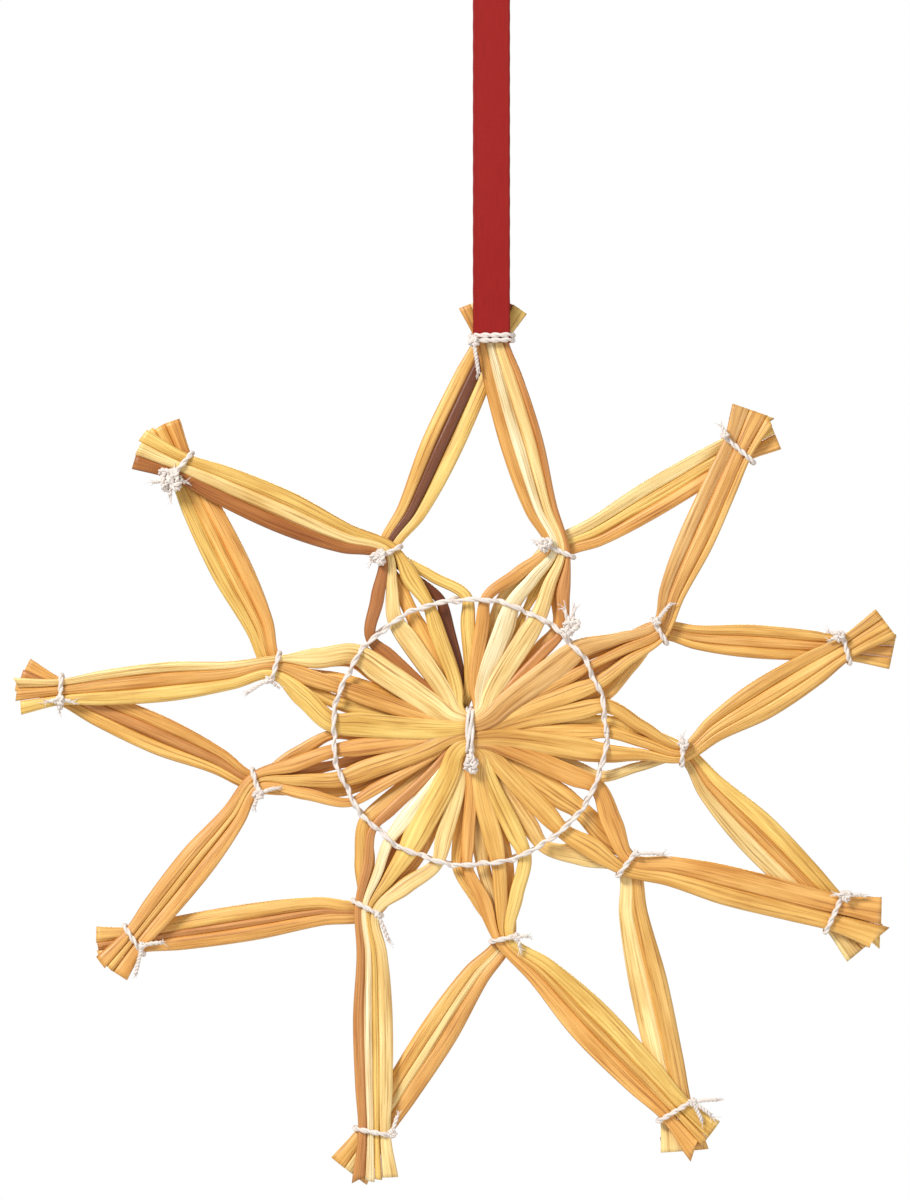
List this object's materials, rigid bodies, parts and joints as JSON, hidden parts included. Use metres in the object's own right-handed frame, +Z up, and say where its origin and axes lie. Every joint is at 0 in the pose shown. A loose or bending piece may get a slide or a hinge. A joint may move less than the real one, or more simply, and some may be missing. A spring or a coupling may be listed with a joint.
{
  "type": "straw star ornament",
  "caption": "Flat pointed star of tied straws with a thread ring round its fanned middle, hung by a flat ribbon loop from one point.",
  "frame": {"origin": "inside of the ribbon loop's top fold, where a hook or twig carries the star", "axes": "+Z up, the star's face looks along -Y, +X to the viewer's right"},
  "size_m": [0.1433, 0.0078, 0.1985],
  "materials": {
    "straw": "natural rye straw, satin",
    "thread": "off-white twisted cotton thread",
    "ribbon": "red satin ribbon"
  },
  "bodies": {
    "root": {"straw_01": "straw", "straw_02": "straw", "straw_03": "straw", "straw_04": "straw", "straw_05": "straw", "straw_06": "straw", "straw_07": "straw", "straw_08": "straw", "straw_09": "straw", "straw_10": "straw", "straw_11": "straw", "straw_12": "straw", "straw_13": "straw", "straw_14": "straw", "straw_15": "straw", "straw_16": "straw", "straw_17": "straw", "straw_18": "straw", "straw_19": "straw", "straw_20": "straw", "straw_21": "straw", "straw_22": "straw", "straw_23": "straw", "straw_24": "straw", "straw_25": "straw", "straw_26": "straw", "straw_27": "straw", "middle_tie": "thread", "ring_thread": "thread", "inner_tie_1": "thread", "inner_tie_2": "thread", "inner_tie_3": "thread", "inner_tie_4": "thread", "inner_tie_5": "thread", "inner_tie_6": "thread", "inner_tie_7": "thread", "inner_tie_8": "thread", "inner_tie_9": "thread", "tip_tie_1": "thread", "tip_tie_2": "thread", "tip_tie_3": "thread", "tip_tie_4": "thread", "tip_tie_5": "thread", "tip_tie_6": "thread", "tip_tie_7": "thread", "tip_tie_8": "thread", "tip_tie_9": "thread", "ribbon": "ribbon"}
  },
  "joints": []
}
